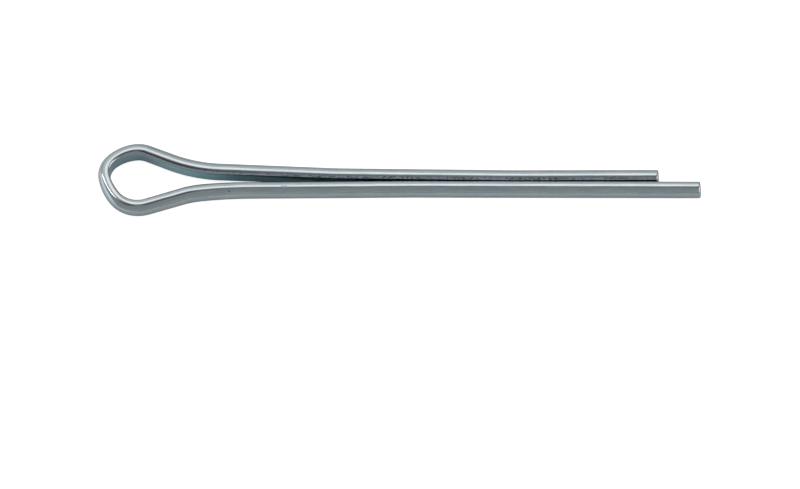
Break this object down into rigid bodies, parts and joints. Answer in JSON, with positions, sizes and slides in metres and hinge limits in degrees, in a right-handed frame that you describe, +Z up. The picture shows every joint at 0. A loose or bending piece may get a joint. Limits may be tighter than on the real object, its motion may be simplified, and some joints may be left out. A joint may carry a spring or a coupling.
{
  "type": "brake pad retaining pin",
  "caption": "Split pin folded from flatted wire, with a pear-shaped eye and one leg longer than the other, that holds disc brake pads in their caliper.",
  "frame": {"origin": "on the surface that the pin lies on, under the middle of its box", "axes": "+X along the shank from the eye to the tips, +Y from the long leg to the short leg, +Z up from the surface that it lies on"},
  "size_m": [0.0748, 0.01, 0.0022],
  "materials": {
    "plated_wire": "bright zinc plate over drawn wire, cool grey with faint teal tint, dull marks where the wire was rolled and folded"
  },
  "bodies": {
    "root": {"split_pin": "plated_wire"}
  },
  "joints": []
}
